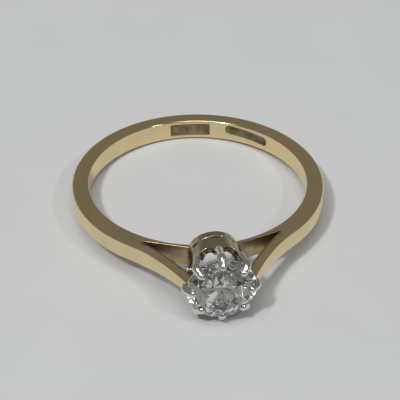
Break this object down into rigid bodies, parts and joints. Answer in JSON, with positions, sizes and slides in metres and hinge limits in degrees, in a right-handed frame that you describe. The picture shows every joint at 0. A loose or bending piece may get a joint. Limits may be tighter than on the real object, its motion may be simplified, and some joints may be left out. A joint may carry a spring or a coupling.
{
  "type": "engagement ring",
  "caption": "Solitaire engagement ring: a round brilliant in a coronet of claws, on a yellow gold hoop with forked shoulders.",
  "frame": {"origin": "centre of the finger bore, halfway across the width of the band", "axes": "+Z along the finger, so the ring lies on its side; -Y from the finger out through the stone; +X across the ring"},
  "size_m": [0.0194, 0.0234, 0.006],
  "materials": {
    "gold_band": "polished pale 18 carat yellow gold with fine wear scratches",
    "gold_head": "polished pale yellow gold, a little duller in the piercings",
    "platinum": "polished platinum, softly worn",
    "diamond": "clear faceted diamond"
  },
  "bodies": {
    "root": {"hoop": "gold_band", "shoulder_left": "gold_band", "shoulder_right": "gold_band", "base_ring": "gold_head", "coronet": "gold_head", "diamond": "diamond", "claw_1": "platinum", "claw_2": "platinum", "claw_3": "platinum", "claw_4": "platinum", "claw_5": "platinum", "claw_6": "platinum", "claw_7": "platinum", "claw_8": "platinum"}
  },
  "joints": []
}
